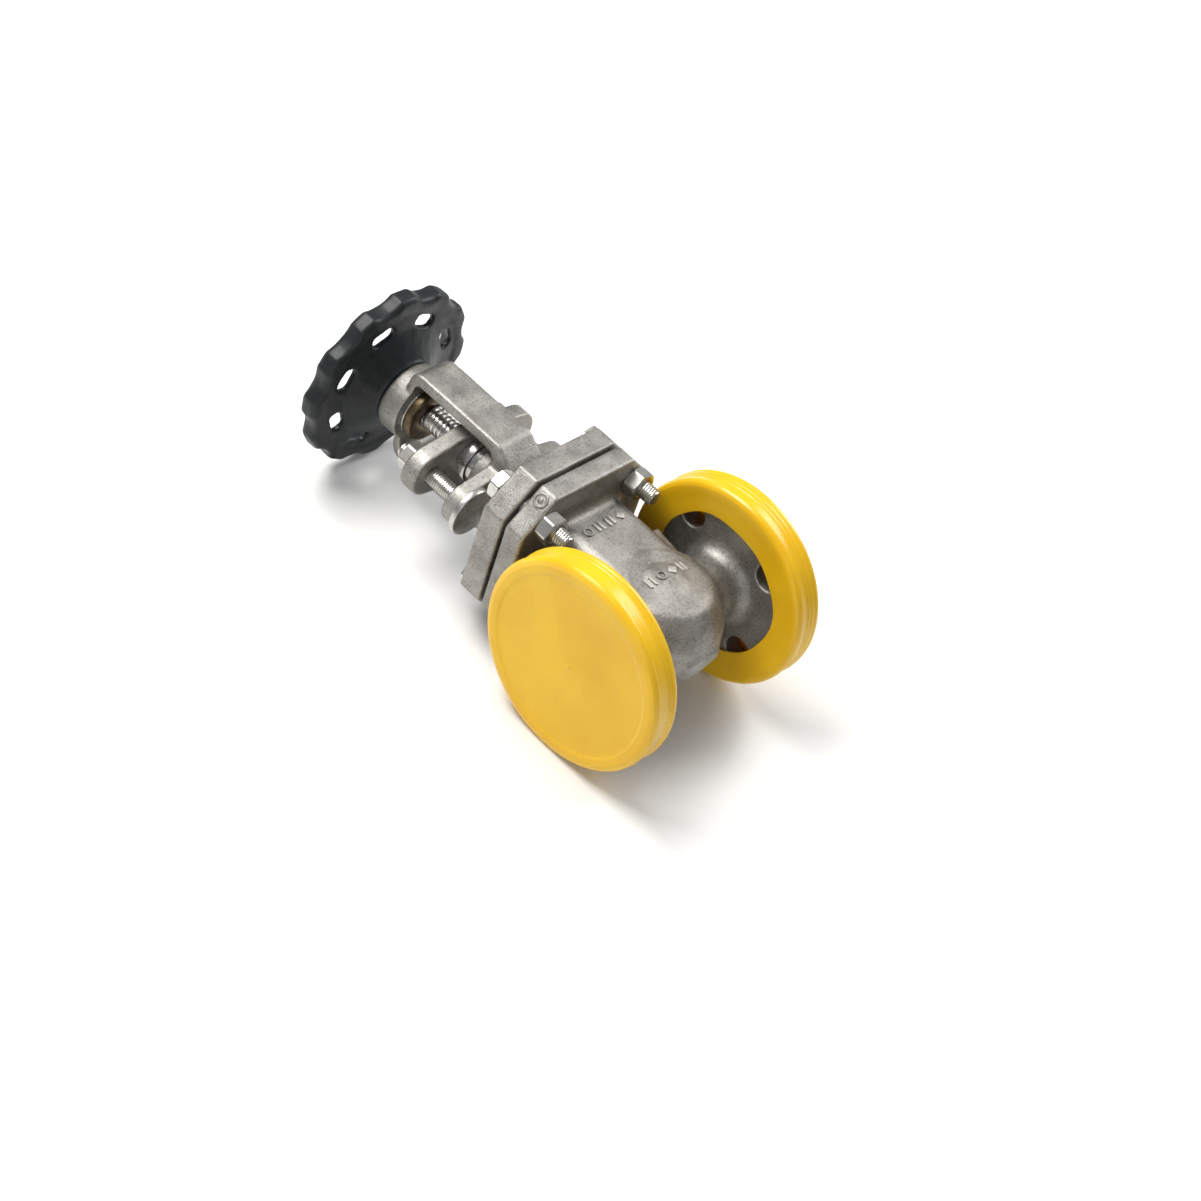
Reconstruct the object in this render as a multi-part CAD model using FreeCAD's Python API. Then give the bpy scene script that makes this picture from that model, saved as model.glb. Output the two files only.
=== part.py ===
import FreeCAD
import Part
import math
import os

# Flanged gate valve, size 25 (1 inch), with bolted bonnet, outside screw and yoke, a rising stem and a
# handwheel, wearing a soft plastic cap on each end flange.
#
# Millimetres.  The valve lies on its side, on the rims of its caps: +Y runs along the stem towards the
# handwheel, +X along the bore from inlet to outlet, +Z up.  The origin is on the floor, under the middle of
# the valve's length.  Each piece is drawn with the valve upright: its axis z is the stem's, x points out of
# the inlet, and every height is measured from the axis of the bore.  save() then lays the piece down.

V = FreeCAD.Vector
X_AXIS = V(1, 0, 0)
Y_AXIS = V(0, 1, 0)
Z_AXIS = V(0, 0, 1)

# ---- driving sizes -------------------------------------------------------------------------------------

# end flanges and bore
face_to_face = 127.0
bore_r = 12.7
flange_r = 55.0
flange_thick = 12.6
raised_face_r = 25.4
raised_face_high = 1.6
flange_pcd = 79.4
flange_hole_r = 7.95
flange_holes = 4
hub_wall = 7.3
hub_fillet = 8.0

# body casting: a flat-sided neck on a round belly
neck_half_x = 26.0
neck_half_y = 27.8
neck_corner = 10.0
belly_r = 37.5
neck_fillet = 5.0

# square bolted joint between body and bonnet
joint_half = 49.4
joint_corner = 19.8
joint_edge_round = 1.2
body_plate_low = 61.5
body_plate_thick = 13.0
gasket_thick = 2.0
gasket_clear = 2.0
gasket_wide = 7.0
bonnet_plate_thick = 15.0
joint_bolt_offset = 33.4
bolt_r = 5.0
bolt_hole_gap = 0.3
thread_gap = 0.05
bolt_head_high = 6.4
bolt_end_past_nut = 9.0
nut_high = 8.4
hex_flats = 16.0

# gate, seats and the hollow that they work in
wedge_angle = 5.0
gate_overlap = 0.5
gate_half_thick = 7.5
gate_head_high = 12.5
seat_wall = 4.3
seat_length = 10.0
seat_gap = 0.03
cavity_half_x = 13.0
cavity_gap_y = 3.0
cavity_corner = 7.0
guide_half = 2.0
guide_bite = 2.0
guide_gap = 0.3
gate_peek = 0.2

# stem
stem_r = 7.5
stem_fit = 0.06
stem_neck_r = 5.0
stem_head_half_x = 5.5
stem_head_half_y = 9.5
stem_head_high = 5.0
stem_head_above_disc = 0.5
head_gap = 0.3
collar_wide = 3.0
collar_high = 4.0
collar_cone = 2.5
stem_below_sleeve = 2.0

# bonnet: back seat, stuffing box, ears and yoke
bonnet_dome_r = 15.0
back_seat_rise = 6.5
back_seat_high = 9.0
back_seat_wall = 4.0
box_floor_thick = 2.0
box_wide = 5.0
packing_rings = 4
packing_high = 5.5
packing_gap = 0.05
bonnet_neck_foot_r = 25.0
bonnet_neck_r = 19.0
boss_wall = 4.5
gland_entry = 14.0
ear_rise = 20.5
ear_thick = 9.0
ear_end_r = 12.5
gland_bolt_offset = 32.0
yoke_half_width = 13.0
yoke_inner_y = 24.3
yoke_arm_thick = 7.1
yoke_foot_rise = 11.5
yoke_foot_half_y = 19.0
yoke_window_high = 63.0
yoke_bridge_thick = 5.0
yoke_shoulder_r = 9.0
yoke_knee_r = 7.0
yoke_window_r = 5.0
yoke_edge_round = 1.6
yoke_ring_wall = 9.5
yoke_ring_high = 14.3
yoke_ring_edge = 1.0

# gland
gland_fit = 0.1
gland_collar_wide = 2.0
gland_collar_high = 6.5
gland_stand = 11.5
gland_flange_thick = 11.0
gland_flange_mid_r = 19.0
gland_flange_end_r = 14.0
gland_flange_round = 1.5
gland_bolt_head_r = 15.0
gland_bolt_head_high = 4.0
gland_bolt_head_gap = 0.4
gland_bolt_past_nut = 4.5

# yoke sleeve, the long nut that lifts the stem
sleeve_wall = 4.5
sleeve_fit = 0.08
sleeve_flange_wide = 5.0
sleeve_flange_thick = 5.5
thrust_washer_thick = 1.6
sleeve_drive_wall = 2.5
sleeve_thread_wall = 1.5
sleeve_past_nut = 2.4
wheel_gap = 0.3
key_width = 4.0
key_depth = 2.0

# handwheel
wheel_foot_inset = 0.5
wheel_hub_wall = 5.0
wheel_hub_high = 16.0
wheel_web_thick = 4.0
wheel_web_r = 37.0
wheel_web_rise = 11.4
wheel_rim_wide = 8.3
wheel_rim_rise = 11.9
wheel_rim_high = 12.5
wheel_tip_r = 57.5
wheel_scallop = 3.2
wheel_rim_round = 3.5
scallop_cut_r = 20.0
wheel_lobes = 12
wheel_windows = 8
window_from_rim = 6.0
window_long = 15.0
window_wide = 7.5
wheel_nut_high = 7.0
wheel_nut_wall = 4.5

# plastic flange caps
cap_gap = 0.3
cap_wall = 2.4
cap_bead = 2.3
cap_bead_wide = 3.4
cap_face_thick = 1.5
cap_border_high = 0.7
cap_border_r = 50.0
cap_lip_thick = 1.7
cap_lip_inner_r = 41.0

# ---- sizes that follow ---------------------------------------------------------------------------------

half_length = face_to_face / 2
flange_face = half_length - raised_face_high
flange_back = flange_face - flange_thick
hub_r = bore_r + hub_wall

seat_outer_r = bore_r + seat_wall
seat_back = gate_half_thick + seat_gap + seat_length
gate_r = seat_outer_r + gate_overlap
gate_top = gate_r + gate_head_high
gate_lift = gate_r + bore_r - gate_peek
wedge_slope = math.tan(math.radians(wedge_angle))
cavity_half_y = gate_r + cavity_gap_y

body_plate_top = body_plate_low + body_plate_thick
bonnet_plate_low = body_plate_top + gasket_thick
bonnet_plate_top = bonnet_plate_low + bonnet_plate_thick
cavity_reach = math.hypot(cavity_half_x - cavity_corner, cavity_half_y - cavity_corner) + cavity_corner
gasket_inner_r = cavity_reach + gasket_clear
gasket_outer_r = gasket_inner_r + gasket_wide

back_seat_low = bonnet_plate_low + back_seat_rise
back_seat_r = stem_r + back_seat_wall
box_floor = back_seat_low + back_seat_high + box_floor_thick
box_r = stem_r + box_wide
packing_top = box_floor + packing_rings * packing_high
boss_r = box_r + boss_wall
boss_top = packing_top + gland_entry
ear_low = bonnet_plate_top + ear_rise
ear_top = ear_low + ear_thick
bonnet_waist_r = gland_bolt_offset - gland_bolt_head_r - gland_bolt_head_gap
yoke_foot_low = bonnet_plate_top + yoke_foot_rise
yoke_outer_y = yoke_inner_y + yoke_arm_thick
yoke_bridge_low = ear_top + yoke_window_high
yoke_bridge_top = yoke_bridge_low + yoke_bridge_thick
yoke_ring_top = yoke_bridge_low + yoke_ring_high

stem_head_low = gate_r + stem_head_above_disc
collar_r = stem_r + collar_wide
collar_top = back_seat_low - gate_lift - 2 * stem_fit

gland_flange_low = boss_top + gland_stand
gland_flange_top = gland_flange_low + gland_flange_thick
gland_collar_low = gland_flange_low - gland_collar_high
gland_collar_r = box_r + gland_collar_wide

washer_low = yoke_bridge_low - thrust_washer_thick
sleeve_low = washer_low - sleeve_flange_thick
sleeve_r = stem_r + sleeve_wall
sleeve_flange_r = sleeve_r + sleeve_flange_wide
sleeve_drive_r = stem_r + sleeve_drive_wall
sleeve_thread_r = stem_r + sleeve_thread_wall
yoke_ring_r = sleeve_r + yoke_ring_wall

wheel_low = yoke_ring_top + wheel_gap
wheel_hub_top = wheel_low + wheel_hub_high
wheel_hub_foot_r = yoke_ring_r - wheel_foot_inset
wheel_hub_r = sleeve_drive_r + wheel_hub_wall
wheel_web_low = wheel_low + wheel_web_rise
wheel_rim_low = wheel_low + wheel_rim_rise
wheel_rim_top = wheel_rim_low + wheel_rim_high
wheel_valley_r = wheel_tip_r - wheel_scallop
wheel_rim_inner_r = wheel_valley_r - wheel_rim_wide
window_pitch_r = wheel_rim_inner_r - window_from_rim
wheel_nut_flats = 2 * (sleeve_thread_r + wheel_nut_wall)
sleeve_top = wheel_hub_top + wheel_nut_high + sleeve_past_nut
stem_top = sleeve_top - stem_below_sleeve

cap_inner_r = flange_r + cap_gap
cap_outer_r = cap_inner_r + cap_wall
cap_bead_r = cap_outer_r + cap_bead


# ---- helpers -------------------------------------------------------------------------------------------

def rod(radius, low, high, x=0.0, y=0.0):
    """Upright cylinder between two heights."""
    return Part.makeCylinder(radius, high - low, V(x, y, low), Z_AXIS)


def rod_x(radius, start, end):
    """Cylinder along the bore between two places."""
    return Part.makeCylinder(radius, end - start, V(start, 0, 0), X_AXIS)


def block(x0, x1, y0, y1, z0, z1):
    """Box between two corners."""
    return Part.makeBox(x1 - x0, y1 - y0, z1 - z0, V(x0, y0, z0))


def prism(points, low, high):
    """Upright prism on a closed outline of straight sides, given as (x, y) points."""
    corners = [V(x, y, low) for x, y in points]
    face = Part.Face(Part.makePolygon(corners + corners[:1]))
    return face.extrude(V(0, 0, high - low))


def spin(points, centre, axis, across):
    """Solid of revolution.  Each point is (distance from the axis, place along the axis)."""
    corners = [centre + across * r + axis * s for r, s in points]
    face = Part.Face(Part.makePolygon(corners + corners[:1]))
    return face.revolve(centre, axis, 360)


def spin_z(points):
    return spin(points, V(0, 0, 0), Z_AXIS, X_AXIS)


def spin_x(points):
    return spin(points, V(0, 0, 0), X_AXIS, Z_AXIS)


def rounded_block(half_x, half_y, low, high, corner):
    """Upright block centred on the stem axis with its four upright edges rounded."""
    solid = block(-half_x, half_x, -half_y, half_y, low, high)
    upright = [e for e in solid.Edges if abs(e.tangentAt(e.FirstParameter).z) > 0.99]
    return solid.makeFillet(corner, upright)


def hexagon(flats, low, high, x=0.0, y=0.0):
    """Hexagonal prism with the corners of its ends turned off, as on a nut or a bolt head."""
    reach = flats / math.sqrt(3)
    corners = [(x + reach * math.cos(math.radians(a)), y + reach * math.sin(math.radians(a)))
               for a in range(0, 360, 60)]
    chamfer = (reach - flats / 2) * 0.6
    turned = spin_z([(0, low), (flats / 2, low), (reach, low + chamfer), (reach, high - chamfer),
                     (flats / 2, high), (0, high)])
    turned.translate(V(x, y, 0))
    return prism(corners, low, high).common(turned)


def hull(radius_mid, radius_end, offset, low, high):
    """Plate with a round middle and two smaller round ends, joined by straight flanks."""
    solid = rod(radius_mid, low, high)
    lean = math.acos((radius_mid - radius_end) / offset)
    for side in (1, -1):
        touch_end = (radius_end * math.cos(lean) + offset, radius_end * math.sin(lean))
        touch_mid = (radius_mid * math.cos(lean), radius_mid * math.sin(lean))
        flank = [(side * touch_mid[0], touch_mid[1]), (side * touch_end[0], touch_end[1]),
                 (side * touch_end[0], -touch_end[1]), (side * touch_mid[0], -touch_mid[1])]
        solid = solid.fuse(prism(flank, low, high))
        solid = solid.fuse(rod(radius_end, low, high, side * offset))
    return solid.removeSplitter()


def corners_of(offset):
    """The four places of the bonnet bolts."""
    return [(sx * offset, sy * offset) for sx in (1, -1) for sy in (1, -1)]


def joint_plate(low, high):
    """Square plate with its four corners cut off, as on both halves of the bonnet joint."""
    a = joint_half
    b = joint_half - joint_corner
    outline = [(a, -b), (a, b), (b, a), (-b, a), (-a, b), (-a, -b), (-b, -a), (b, -a)]
    plate = prism(outline, low, high)
    flat = [e for e in plate.Edges if abs(e.tangentAt(e.FirstParameter).z) < 0.01]
    return plate.makeFillet(joint_edge_round, flat)


def round_edges(solid, radius, wanted):
    """Fillet the edges of a solid that the test picks out."""
    return solid.makeFillet(radius, [e for e in solid.Edges if wanted(e)])


def mirrored_x(shape):
    return shape.mirror(V(0, 0, 0), X_AXIS)


def save(name, *solids):
    """Lay the piece down in its place and write it.  Several solids become one group."""
    shape = solids[0] if len(solids) == 1 else Part.makeCompound(list(solids))
    shape = shape.copy()
    shape.rotate(V(0, 0, 0), Y_AXIS + Z_AXIS, 180)
    shape.translate(V(0, (cap_bead_r - sleeve_top) / 2, cap_bead_r))
    shape.exportStep("parts/" + name + ".step")
    print(name, len(shape.Solids), "solids", round(shape.Volume), "mm3", shape.isValid())


# ---- body ----------------------------------------------------------------------------------------------

def end_flange():
    """Inlet flange with its raised face, and the hub that runs into the belly under a round fillet."""
    start = V(flange_back - hub_fillet, 0, hub_r)
    end = V(flange_back, 0, hub_r + hub_fillet)
    bend = hub_fillet * (1 - math.sqrt(0.5))
    middle = V(flange_back - bend, 0, hub_r + bend)
    sides = [Part.LineSegment(V(0, 0, 0), V(0, 0, hub_r)).toShape(),
             Part.LineSegment(V(0, 0, hub_r), start).toShape(),
             Part.Arc(start, middle, end).toShape()]
    rest = [end, V(flange_back, 0, flange_r), V(flange_face, 0, flange_r), V(flange_face, 0, raised_face_r),
            V(half_length, 0, raised_face_r), V(half_length, 0, 0), V(0, 0, 0)]
    for here, there in zip(rest, rest[1:]):
        sides.append(Part.LineSegment(here, there).toShape())
    solid = Part.Face(Part.Wire(sides)).revolve(V(0, 0, 0), X_AXIS, 360)
    for i in range(flange_holes):
        angle = math.radians(360 / flange_holes * (i + 0.5))
        y = flange_pcd / 2 * math.cos(angle)
        z = flange_pcd / 2 * math.sin(angle)
        hole = Part.makeCylinder(flange_hole_r, flange_thick + 2, V(flange_back - 1, y, z), X_AXIS)
        solid = solid.cut(hole)
    return solid


def wedge(half_thick, low, high, half_y):
    """Block that narrows downwards by the wedge angle on both faces."""
    bottom = half_thick + low * wedge_slope
    top = half_thick + high * wedge_slope
    outline = [V(-bottom, -half_y, low), V(bottom, -half_y, low),
               V(top, -half_y, high), V(-top, -half_y, high)]
    face = Part.Face(Part.makePolygon(outline + outline[:1]))
    return face.extrude(V(0, 2 * half_y, 0))


def cavity():
    """Hollow in the body for the gate: a slot with a half-round floor and a guide rib on each side wall."""
    slot = rounded_block(cavity_half_x, cavity_half_y, 0, body_plate_top, cavity_corner)
    floor = rod_x(cavity_half_y, -cavity_half_x, cavity_half_x)
    hollow = slot.fuse(floor)
    rib_y = gate_r - guide_bite + guide_gap
    for side in (1, -1):
        y0, y1 = sorted((side * rib_y, side * (cavity_half_y + 1)))
        rib = block(-guide_half, guide_half, y0, y1, -bore_r / 2, body_plate_low)
        hollow = hollow.cut(rib)
    return hollow


def make_body():
    neck = rounded_block(neck_half_x, neck_half_y, 0, body_plate_low + 1, neck_corner)
    top = neck.fuse(joint_plate(body_plate_low, body_plate_top))

    def under_plate(edge):
        box = edge.BoundBox
        level = abs(box.ZMin - body_plate_low) < 0.01 and abs(box.ZMax - body_plate_low) < 0.01
        return level and max(abs(box.XMin), abs(box.XMax)) < neck_half_x + 1 and box.YMax < neck_half_y + 1
    top = round_edges(top, neck_fillet, under_plate)
    belly = Part.makeSphere(belly_r)
    belly = belly.common(block(-belly_r, belly_r, -neck_half_y, neck_half_y, -belly_r, belly_r))
    body = top.fuse([belly, end_flange(), mirrored_x(end_flange())])
    body = body.cut(cavity())
    body = body.cut(rod_x(bore_r, -half_length - 1, half_length + 1))
    body = body.cut(rod_x(seat_outer_r, -seat_back, seat_back))
    for x, y in corners_of(joint_bolt_offset):
        body = body.cut(rod(bolt_r + bolt_hole_gap, body_plate_low - 8, body_plate_top + 1, x, y))
    return body.removeSplitter()


# ---- seats and gate ------------------------------------------------------------------------------------

def make_seat(side):
    """Seat ring pressed into the body, its working face leaning with the wedge."""
    ring = rod_x(seat_outer_r, 0, seat_back).cut(rod_x(bore_r, -1, seat_back + 1))
    ring = ring.cut(wedge(gate_half_thick + seat_gap, -2 * gate_r, 2 * gate_r, 2 * gate_r))
    return ring if side > 0 else mirrored_x(ring)


def make_gate():
    gate = wedge(gate_half_thick, -gate_r, gate_top, gate_r)
    outline = rod_x(gate_r, -cavity_half_x, cavity_half_x)
    outline = outline.fuse(block(-cavity_half_x, cavity_half_x, -gate_r, gate_r, 0, gate_top))
    gate = gate.common(outline)
    slot_half = stem_head_half_y + head_gap
    slot_top = stem_head_low + stem_head_high + head_gap
    gate = gate.cut(block(-cavity_half_x, cavity_half_x, -slot_half, slot_half, stem_head_low, slot_top))
    throat = stem_neck_r + head_gap
    gate = gate.cut(block(-cavity_half_x, cavity_half_x, -throat, throat, slot_top, gate_top + 1))
    groove = guide_half + guide_gap
    for side in (1, -1):
        y0, y1 = sorted((side * (gate_r - guide_bite), side * (gate_r + 1)))
        gate = gate.cut(block(-groove, groove, y0, y1, -gate_r, gate_top + 1))
    return gate


# ---- stem ----------------------------------------------------------------------------------------------

def make_stem():
    """Stem with a T head for the gate and a collar that closes on the back seat when fully open."""
    head = block(-stem_head_half_x, stem_head_half_x, -stem_head_half_y, stem_head_half_y,
                 stem_head_low, stem_head_low + stem_head_high)
    neck = rod(stem_neck_r, stem_head_low + stem_head_high, gate_top + 2)
    collar_low = collar_top - collar_high - collar_cone
    shaft = spin_z([(0, gate_top + 1), (stem_r, gate_top + 1), (stem_r, collar_low), (collar_r, collar_low),
                    (collar_r, collar_top - collar_cone), (stem_r, collar_top), (stem_r, stem_top - 1),
                    (stem_r - 1, stem_top), (0, stem_top)])
    return head.fuse([neck, shaft]).removeSplitter()


# ---- bonnet --------------------------------------------------------------------------------------------

def yoke_frame():
    """The yoke as one flat bar bent into a frame: foot, two arms and the bridge that carries the ring."""
    shoulder = yoke_shoulder_r * (1 - math.sqrt(0.5))
    half = [V(0, 0, yoke_foot_low), V(0, yoke_foot_half_y, yoke_foot_low),
            V(0, yoke_outer_y, ear_top - 2), V(0, yoke_outer_y, yoke_bridge_top - yoke_shoulder_r)]
    sides = [Part.LineSegment(a, b).toShape() for a, b in zip(half, half[1:])]
    bend = V(0, yoke_outer_y - shoulder, yoke_bridge_top - shoulder)
    top = V(0, yoke_outer_y - yoke_shoulder_r, yoke_bridge_top)
    sides.append(Part.Arc(half[-1], bend, top).toShape())
    sides.append(Part.LineSegment(top, V(0, 0, yoke_bridge_top)).toShape())
    sides.append(Part.LineSegment(V(0, 0, yoke_bridge_top), half[0]).toShape())
    right = Part.Face(Part.Wire(sides)).extrude(V(2 * yoke_half_width, 0, 0))
    right.translate(V(-yoke_half_width, 0, 0))
    frame = right.fuse(right.mirror(V(0, 0, 0), Y_AXIS)).removeSplitter()
    window = block(-yoke_half_width - 1, yoke_half_width + 1, -yoke_inner_y, yoke_inner_y,
                   ear_top, yoke_bridge_low)
    along = [e for e in window.Edges if abs(e.tangentAt(e.FirstParameter).x) > 0.99]
    frame = frame.cut(window.makeFillet(yoke_window_r, along))

    def knee(edge):
        box = edge.BoundBox
        outside = min(abs(box.YMin), abs(box.YMax)) > yoke_outer_y - 0.01
        return outside and box.XLength > yoke_half_width and box.ZMax < ear_top
    frame = round_edges(frame, yoke_knee_r, knee)

    def long_edge(edge):
        box = edge.BoundBox
        outside = min(abs(box.YMin), abs(box.YMax)) > yoke_outer_y - 0.01
        return outside and box.ZLength > yoke_arm_thick and box.XLength < 0.01
    return round_edges(frame, yoke_edge_round, long_edge)


def make_bonnet():
    plate = joint_plate(bonnet_plate_low, bonnet_plate_top)
    neck = spin_z([(0, bonnet_plate_top - 1), (bonnet_neck_foot_r, bonnet_plate_top - 1),
                   (bonnet_neck_foot_r, bonnet_plate_top), (bonnet_waist_r, yoke_foot_low),
                   (bonnet_waist_r, ear_low), (bonnet_neck_r, ear_low), (bonnet_neck_r, ear_top - 1),
                   (boss_r, ear_top + 2), (boss_r, boss_top), (0, boss_top)])
    ears = hull(bonnet_neck_r, ear_end_r, gland_bolt_offset, ear_low, ear_top)
    ring = spin_z([(0, yoke_bridge_low), (yoke_ring_r, yoke_bridge_low),
                   (yoke_ring_r, yoke_ring_top - yoke_ring_edge),
                   (yoke_ring_r - yoke_ring_edge, yoke_ring_top), (0, yoke_ring_top)])
    bonnet = plate.fuse([neck, ears, yoke_frame(), ring])
    bonnet = bonnet.cut(rod(sleeve_r + sleeve_fit, yoke_bridge_low - 1, yoke_ring_top + 1))
    bonnet = bonnet.cut(rod(bonnet_dome_r, bonnet_plate_low - 1, back_seat_low))
    bonnet = bonnet.cut(rod(back_seat_r, back_seat_low - 1, back_seat_low + back_seat_high))
    bonnet = bonnet.cut(rod(stem_r + 0.5, back_seat_low, box_floor + 1))
    bonnet = bonnet.cut(rod(box_r, box_floor, boss_top + 1))
    for x, y in corners_of(joint_bolt_offset):
        bonnet = bonnet.cut(rod(bolt_r + bolt_hole_gap, bonnet_plate_low - 1, bonnet_plate_top + 1, x, y))
    for side in (1, -1):
        bonnet = bonnet.cut(rod(bolt_r + bolt_hole_gap, ear_low - 1, ear_top + 1, side * gland_bolt_offset))
    return bonnet.removeSplitter()


def make_gasket():
    return rod(gasket_outer_r, body_plate_top, bonnet_plate_low).cut(
        rod(gasket_inner_r, body_plate_top - 1, bonnet_plate_low + 1))


def make_back_seat_bushing():
    """Bushing that the stem runs in, with a cone below for the stem collar."""
    low = back_seat_low - collar_cone
    high = back_seat_low + back_seat_high
    inner = stem_r + stem_fit
    return spin_z([(inner, back_seat_low), (collar_r + 2 * stem_fit, low), (bonnet_dome_r - 1, low),
                   (bonnet_dome_r - 1, back_seat_low), (back_seat_r, back_seat_low), (back_seat_r, high),
                   (inner, high)])


def make_packing_ring(index):
    low = box_floor + index * packing_high
    ring = rod(box_r - packing_gap, low, low + packing_high)
    return ring.cut(rod(stem_r + stem_fit, low - 1, low + packing_high + 1))


def joint_bolt(x, y):
    """Hexagon bolt through both plates of the bonnet joint, head up, with its end past the nut."""
    head = hexagon(hex_flats, bonnet_plate_top, bonnet_plate_top + bolt_head_high, x, y)
    end = body_plate_low - nut_high - bolt_end_past_nut
    shank = spin_z([(0, end), (bolt_r - 1, end), (bolt_r, end + 1), (bolt_r, bonnet_plate_top + 1),
                    (0, bonnet_plate_top + 1)])
    shank.translate(V(x, y, 0))
    return head.fuse(shank).removeSplitter()


def nut(x, y, low):
    thread = rod(bolt_r + thread_gap, low - 1, low + nut_high + 1, x, y)
    return hexagon(hex_flats, low, low + nut_high, x, y).cut(thread)


# ---- gland ---------------------------------------------------------------------------------------------

def make_gland():
    """Follower that presses the packing down, with a collar that the gland flange bears on."""
    outer = box_r - gland_fit
    inner = stem_r + 3 * stem_fit
    return spin_z([(inner, packing_top), (outer, packing_top), (outer, gland_collar_low),
                   (gland_collar_r, gland_collar_low), (gland_collar_r, gland_flange_low),
                   (inner, gland_flange_low)])


def make_gland_flange():
    low = gland_flange_low
    high = gland_flange_top
    plate = hull(gland_flange_mid_r, gland_flange_end_r, gland_bolt_offset, low, high)

    def flat(edge):
        return edge.BoundBox.ZLength < 0.01
    plate = round_edges(plate, gland_flange_round, flat)
    plate = plate.cut(rod(stem_r + 1, low - 1, high + 1))
    for side in (1, -1):
        plate = plate.cut(rod(bolt_r + bolt_hole_gap, low - 1, high + 1, side * gland_bolt_offset))
    return plate


def gland_bolt(side):
    """Bolt with a broad flat round head, set up through an ear of the bonnet."""
    low = ear_low - gland_bolt_head_high
    high = gland_flange_top + nut_high + gland_bolt_past_nut
    bolt = spin_z([(0, low), (gland_bolt_head_r - 0.5, low), (gland_bolt_head_r, low + 0.5),
                   (gland_bolt_head_r, ear_low - 1), (gland_bolt_head_r - 1, ear_low), (bolt_r, ear_low),
                   (bolt_r, high - 1), (bolt_r - 1, high), (0, high)])
    bolt.translate(V(side * gland_bolt_offset, 0, 0))
    return bolt


# ---- yoke sleeve and handwheel -------------------------------------------------------------------------

def key_block(low, high):
    """Space of the key that joins the sleeve and the wheel."""
    half = key_width / 2
    return block(sleeve_drive_r - key_depth, sleeve_drive_r + key_depth, -half, half, low, high)


def make_yoke_sleeve():
    inner = stem_r + stem_fit
    sleeve = spin_z([(inner, sleeve_low), (sleeve_flange_r - 1, sleeve_low),
                     (sleeve_flange_r, sleeve_low + 1), (sleeve_flange_r, washer_low),
                     (sleeve_r, washer_low), (sleeve_r, wheel_low),
                     (sleeve_drive_r, wheel_low), (sleeve_drive_r, wheel_hub_top),
                     (sleeve_thread_r, wheel_hub_top), (sleeve_thread_r, sleeve_top - 1),
                     (sleeve_thread_r - 0.5, sleeve_top), (inner, sleeve_top)])
    return sleeve.cut(key_block(wheel_low, wheel_hub_top))


def make_thrust_washer():
    washer = rod(sleeve_flange_r, washer_low, yoke_bridge_low)
    return washer.cut(rod(sleeve_r + sleeve_fit, washer_low - 1, yoke_bridge_low + 1))


def make_key():
    return key_block(wheel_low, wheel_hub_top)


def make_handwheel_nut():
    body = hexagon(wheel_nut_flats, wheel_hub_top, wheel_hub_top + wheel_nut_high)
    thread = rod(sleeve_thread_r + thread_gap, wheel_hub_top - 1, wheel_hub_top + wheel_nut_high + 1)
    return body.cut(thread)


def window_cutter(angle):
    """Upright oval hole through the web, its long way round the wheel."""
    half_long = (window_long - window_wide) / 2
    low = wheel_web_low - 10
    high = wheel_rim_top + 5
    oval = block(window_pitch_r - window_wide / 2, window_pitch_r + window_wide / 2, -half_long, half_long,
                 low, high)
    for side in (1, -1):
        oval = oval.fuse(rod(window_wide / 2, low, high, window_pitch_r, side * half_long))
    oval.rotate(V(0, 0, 0), Z_AXIS, angle)
    return oval


def make_handwheel():
    """Cast wheel: a bell-shaped web that opens from the hub to a scalloped rim."""
    t = wheel_web_thick
    low = wheel_low
    mid_r = (wheel_hub_foot_r + wheel_web_r) / 2
    mid_z = low + (wheel_web_low - low) * 0.62
    foot_flat = low + 1.5
    web = spin_z([(sleeve_drive_r, low), (wheel_hub_foot_r, low), (wheel_hub_foot_r, foot_flat),
                  (mid_r, mid_z), (wheel_web_r, wheel_web_low), (wheel_rim_inner_r + 2, wheel_rim_low + 1),
                  (wheel_rim_inner_r + 2, wheel_rim_low + 1 + t), (wheel_web_r - 1, wheel_web_low + t),
                  (mid_r - 2, mid_z + t), (wheel_hub_r + 2, foot_flat + t + 1),
                  (wheel_hub_r, wheel_hub_top - 1), (wheel_hub_r - 1, wheel_hub_top),
                  (sleeve_drive_r, wheel_hub_top)])
    rim = rod(wheel_tip_r, wheel_rim_low, wheel_rim_top).cut(
        rod(wheel_rim_inner_r, wheel_rim_low - 1, wheel_rim_top + 1))
    for i in range(wheel_lobes):
        angle = math.radians(360 / wheel_lobes * (i + 0.5))
        reach = wheel_valley_r + scallop_cut_r
        rim = rim.cut(rod(scallop_cut_r, wheel_rim_low - 1, wheel_rim_top + 1,
                          reach * math.cos(angle), reach * math.sin(angle)))

    def rim_edge(edge):
        return edge.BoundBox.ZLength < 0.01
    rim = round_edges(rim, wheel_rim_round, rim_edge)
    for i in range(wheel_windows):
        web = web.cut(window_cutter(360 / wheel_windows * (i + 0.5)))
    wheel = web.fuse(rim)
    return wheel.cut(key_block(wheel_low - 1, wheel_hub_top + 1)).removeSplitter()


# ---- caps ----------------------------------------------------------------------------------------------

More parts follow.
